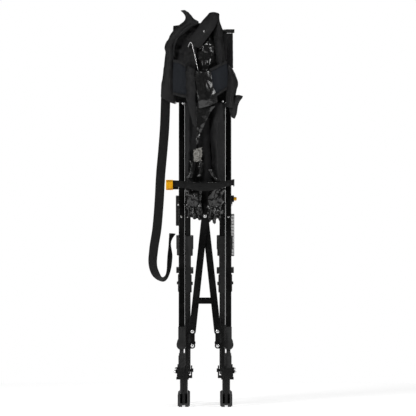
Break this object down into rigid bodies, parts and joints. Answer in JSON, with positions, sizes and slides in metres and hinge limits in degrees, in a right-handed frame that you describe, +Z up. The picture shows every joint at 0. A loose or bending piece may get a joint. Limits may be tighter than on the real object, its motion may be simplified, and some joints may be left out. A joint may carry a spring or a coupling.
{
  "type": "folding stretcher",
  "caption": "Folding stretcher stored as an upright bundle: scissor side frames, end spreaders, cloth deck panels, cover, strap and carry handle.",
  "frame": {"origin": "bottom centre of the folded bundle's box, on the floor", "axes": "+Z up along the folded bundle, X across the bed, Y along the bed"},
  "size_m": [0.245, 0.3076, 1.036],
  "materials": {
    "pad_rubber": "matte moulded rubber",
    "frame_black": "black satin powder coat",
    "grey_plastic": "matte glass-filled nylon",
    "black_plastic": "fine grain moulded",
    "rivet_steel": "bright turned",
    "deck_cloth": "coated polyester weave",
    "cover_cloth": "coated nylon, crumpled",
    "webbing": "ribbed polypropylene webbing",
    "yellow_plastic": "moulded amber yellow"
  },
  "bodies": {
    "foot_near_left": {"leg_near_left": "frame_black", "foot_pad_near_left": "pad_rubber"},
    "foot_mid_left": {"leg_mid_left": "frame_black", "foot_pad_mid_left": "pad_rubber"},
    "foot_far_left": {"leg_far_left": "frame_black", "foot_pad_far_left": "pad_rubber"},
    "inner_bar_near_left": {"inner_tube_near_left": "frame_black", "lock_sleeve_inner_near_left": "grey_plastic", "end_cap_near_left": "black_plastic", "crossing_rivet_near_left": "rivet_steel", "end_cover": "cover_cloth", "carry_strap": "webbing"},
    "outer_bar_near_left": {"outer_tube_near_left": "frame_black", "knuckle_near_left": "grey_plastic", "storage_strap": "webbing", "buckle_body": "yellow_plastic"},
    "spreader_near_left": {"spreader_near_left": "frame_black"},
    "inner_bar_far_left": {"inner_tube_far_left": "frame_black", "lock_sleeve_inner_far_left": "grey_plastic", "end_cap_far_left": "black_plastic", "crossing_rivet_far_left": "rivet_steel"},
    "outer_bar_far_left": {"outer_tube_far_left": "frame_black", "knuckle_far_left": "grey_plastic", "lock_sleeve_outer_far_left": "grey_plastic"},
    "spreader_far_left": {"spreader_far_left": "frame_black"},
    "top_hat_left": {"top_hat_left": "black_plastic"},
    "foot_near_right": {"leg_near_right": "frame_black", "foot_pad_near_right": "pad_rubber"},
    "foot_mid_right": {"leg_mid_right": "frame_black", "foot_pad_mid_right": "pad_rubber"},
    "foot_far_right": {"leg_far_right": "frame_black", "foot_pad_far_right": "pad_rubber"},
    "inner_bar_near_right": {"inner_tube_near_right": "frame_black", "lock_sleeve_inner_near_right": "grey_plastic", "end_cap_near_right": "black_plastic", "crossing_rivet_near_right": "rivet_steel"},
    "outer_bar_near_right": {"outer_tube_near_right": "frame_black", "knuckle_near_right": "grey_plastic", "button_housing": "black_plastic"},
    "spreader_near_right": {"spreader_near_right": "frame_black"},
    "inner_bar_far_right": {"inner_tube_far_right": "frame_black", "lock_sleeve_inner_far_right": "grey_plastic", "end_cap_far_right": "black_plastic", "crossing_rivet_far_right": "rivet_steel"},
    "outer_bar_far_right": {"outer_tube_far_right": "frame_black", "knuckle_far_right": "grey_plastic", "lock_sleeve_outer_far_right": "grey_plastic"},
    "spreader_far_right": {"spreader_far_right": "frame_black"},
    "top_hat_right": {"top_hat_right": "black_plastic"},
    "deck_near_end": {"deck_near_end": "deck_cloth"},
    "hem_near_end": {"hem_near_end": "deck_cloth"},
    "deck_near_mid": {"deck_near_mid": "deck_cloth"},
    "hem_near_mid": {"hem_near_mid": "deck_cloth"},
    "deck_far_mid": {"deck_far_mid": "deck_cloth"},
    "hem_far_mid": {"hem_far_mid": "deck_cloth"},
    "deck_far_end": {"deck_far_end": "deck_cloth"},
    "hem_far_end": {"hem_far_end": "deck_cloth"},
    "end_cover_wing": {"end_cover_wing": "cover_cloth"},
    "buckle_lever": {"buckle_lever": "yellow_plastic"},
    "release_button": {"release_button": "yellow_plastic"}
  },
  "joints": [
    {"name": "open_frame", "type": "hinge", "parent": "foot_mid_left", "child": "inner_bar_near_left", "pos_m": [-0.02153, -0.00775, 0.092], "axis": [1, 0, 0], "range_deg": [0, 70]},
    {"name": "crossing_near_left", "type": "hinge", "parent": "inner_bar_near_left", "child": "outer_bar_near_left", "pos_m": [-0.03753, -0.05575, 0.5339], "axis": [1, 0, 0], "range_deg": [-140, 0]},
    {"name": "foot_near_left", "type": "hinge", "parent": "outer_bar_near_left", "child": "foot_near_left", "pos_m": [-0.03753, -0.10375, 0.092], "axis": [1, 0, 0], "range_deg": [0, 70]},
    {"name": "inner_far_left", "type": "hinge", "parent": "foot_mid_left", "child": "inner_bar_far_left", "pos_m": [-0.02153, 0.02025, 0.092], "axis": [1, 0, 0], "range_deg": [-70, 0]},
    {"name": "crossing_far_left", "type": "hinge", "parent": "inner_bar_far_left", "child": "outer_bar_far_left", "pos_m": [-0.03753, 0.06825, 0.5339], "axis": [1, 0, 0], "range_deg": [0, 140]},
    {"name": "foot_far_left", "type": "hinge", "parent": "outer_bar_far_left", "child": "foot_far_left", "pos_m": [-0.03753, 0.11625, 0.092], "axis": [1, 0, 0], "range_deg": [-70, 0]},
    {"name": "spreader_near_left", "type": "hinge", "parent": "foot_near_left", "child": "spreader_near_left", "pos_m": [-0.00853, -0.12725, 0.199], "axis": [0, 1, 0], "range_deg": [0, 75.79]},
    {"name": "spreader_apex_near", "type": "hinge", "parent": "spreader_near_left", "child": "spreader_near_right", "pos_m": [0.02447, -0.12725, 0.502], "axis": [0, 1, 0], "range_deg": [-151.57, 0]},
    {"name": "spreader_far_left", "type": "hinge", "parent": "foot_far_left", "child": "spreader_far_left", "pos_m": [-0.00853, 0.13975, 0.199], "axis": [0, 1, 0], "range_deg": [0, 75.79]},
    {"name": "spreader_apex_far", "type": "hinge", "parent": "spreader_far_left", "child": "spreader_far_right", "pos_m": [0.02447, 0.13975, 0.502], "axis": [0, 1, 0], "range_deg": [-151.57, 0]},
    {"name": "foot_near_right", "type": "hinge", "parent": "spreader_near_right", "child": "foot_near_right", "pos_m": [0.05747, -0.10375, 0.199], "axis": [0, 1, 0], "range_deg": [0, 75.79]},
    {"name": "outer_near_right", "type": "hinge", "parent": "foot_near_right", "child": "outer_bar_near_right", "pos_m": [0.08647, -0.10375, 0.092], "axis": [1, 0, 0], "range_deg": [-70, 0]},
    {"name": "crossing_near_right", "type": "hinge", "parent": "outer_bar_near_right", "child": "inner_bar_near_right", "pos_m": [0.07047, -0.05575, 0.5339], "axis": [1, 0, 0], "range_deg": [0, 140]},
    {"name": "foot_mid_right", "type": "hinge", "parent": "inner_bar_near_right", "child": "foot_mid_right", "pos_m": [0.07047, -0.00775, 0.092], "axis": [1, 0, 0], "range_deg": [-70, 0]},
    {"name": "inner_far_right", "type": "hinge", "parent": "foot_mid_right", "child": "inner_bar_far_right", "pos_m": [0.07047, 0.02025, 0.092], "axis": [1, 0, 0], "range_deg": [-70, 0]},
    {"name": "crossing_far_right", "type": "hinge", "parent": "inner_bar_far_right", "child": "outer_bar_far_right", "pos_m": [0.08647, 0.06825, 0.5339], "axis": [1, 0, 0], "range_deg": [0, 140]},
    {"name": "foot_far_right", "type": "hinge", "parent": "outer_bar_far_right", "child": "foot_far_right", "pos_m": [0.08647, 0.11625, 0.092], "axis": [1, 0, 0], "range_deg": [-70, 0]},
    {"name": "top_hat_left", "type": "hinge", "parent": "outer_bar_near_left", "child": "top_hat_left", "pos_m": [-0.03753, -0.00775, 0.9758], "axis": [1, 0, 0], "range_deg": [0, 70]},
    {"name": "top_hat_right", "type": "hinge", "parent": "outer_bar_near_right", "child": "top_hat_right", "pos_m": [0.08647, -0.00775, 0.9758], "axis": [1, 0, 0], "range_deg": [0, 70]},
    {"name": "deck_near_end", "type": "hinge", "parent": "inner_bar_near_left", "child": "deck_near_end", "pos_m": [0.02447, -0.10375, 0.9758], "axis": [1, 0, 0], "range_deg": [0, 13.8]},
    {"name": "deck_near_mid", "type": "hinge", "parent": "outer_bar_near_left", "child": "deck_near_mid", "pos_m": [0.02447, -0.00775, 0.9758], "axis": [1, 0, 0], "range_deg": [-13.8, 0]},
    {"name": "deck_far_mid", "type": "hinge", "parent": "outer_bar_far_left", "child": "deck_far_mid", "pos_m": [0.02447, 0.02025, 0.9758], "axis": [1, 0, 0], "range_deg": [0, 13.8]},
    {"name": "deck_far_end", "type": "hinge", "parent": "inner_bar_far_left", "child": "deck_far_end", "pos_m": [0.02447, 0.11625, 0.9758], "axis": [1, 0, 0], "range_deg": [-13.8, 0]},
    {"name": "widen_near_end", "type": "slide", "parent": "deck_near_end", "child": "hem_near_end", "axis": [1, 0, 0], "range_m": [0, 0.53766]},
    {"name": "widen_near_mid", "type": "slide", "parent": "deck_near_mid", "child": "hem_near_mid", "axis": [1, 0, 0], "range_m": [0, 0.53766]},
    {"name": "widen_far_mid", "type": "slide", "parent": "deck_far_mid", "child": "hem_far_mid", "axis": [1, 0, 0], "range_m": [0, 0.53766]},
    {"name": "widen_far_end", "type": "slide", "parent": "deck_far_end", "child": "hem_far_end", "axis": [1, 0, 0], "range_m": [0, 0.53766]},
    {"name": "widen_cover", "type": "slide", "parent": "inner_bar_near_left", "child": "end_cover_wing", "axis": [1, 0, 0], "range_m": [0, 0.53766]},
    {"name": "buckle_lever", "type": "hinge", "parent": "outer_bar_near_left", "child": "buckle_lever", "pos_m": [-0.07603, -0.14115, 0.5835], "axis": [0, 0, -1], "range_deg": [0, 100]},
    {"name": "release_button", "type": "slide", "parent": "outer_bar_near_right", "child": "release_button", "axis": [-1, 0, 0], "range_m": [0, 0.004], "stiffness_N_per_m": 300, "springref_m": -0.002}
  ],
  "couplings": [
    {"joint": "crossing_near_left", "follows": "open_frame", "ratio": -2},
    {"joint": "foot_near_left", "follows": "open_frame", "ratio": 1},
    {"joint": "inner_far_left", "follows": "open_frame", "ratio": -1},
    {"joint": "crossing_far_left", "follows": "open_frame", "ratio": 2},
    {"joint": "foot_far_left", "follows": "open_frame", "ratio": -1},
    {"joint": "spreader_near_left", "follows": "open_frame", "ratio": 1.0826},
    {"joint": "spreader_apex_near", "follows": "open_frame", "ratio": -2.1653},
    {"joint": "spreader_far_left", "follows": "open_frame", "ratio": 1.0826},
    {"joint": "spreader_apex_far", "follows": "open_frame", "ratio": -2.1653},
    {"joint": "foot_near_right", "follows": "open_frame", "ratio": 1.0826},
    {"joint": "outer_near_right", "follows": "open_frame", "ratio": -1},
    {"joint": "crossing_near_right", "follows": "open_frame", "ratio": 2},
    {"joint": "foot_mid_right", "follows": "open_frame", "ratio": -1},
    {"joint": "inner_far_right", "follows": "open_frame", "ratio": -1},
    {"joint": "crossing_far_right", "follows": "open_frame", "ratio": 2},
    {"joint": "foot_far_right", "follows": "open_frame", "ratio": -1},
    {"joint": "top_hat_left", "follows": "open_frame", "ratio": 1},
    {"joint": "top_hat_right", "follows": "open_frame", "ratio": 1},
    {"joint": "deck_near_end", "follows": "open_frame", "ratio": 0.19715},
    {"joint": "deck_near_mid", "follows": "open_frame", "ratio": -0.19715},
    {"joint": "deck_far_mid", "follows": "open_frame", "ratio": 0.19715},
    {"joint": "deck_far_end", "follows": "open_frame", "ratio": -0.19715},
    {"joint": "widen_near_end", "follows": "open_frame", "m_per_rad": 0.44007},
    {"joint": "widen_near_mid", "follows": "open_frame", "m_per_rad": 0.44007},
    {"joint": "widen_far_mid", "follows": "open_frame", "m_per_rad": 0.44007},
    {"joint": "widen_far_end", "follows": "open_frame", "m_per_rad": 0.44007},
    {"joint": "widen_cover", "follows": "open_frame", "m_per_rad": 0.44007}
  ]
}
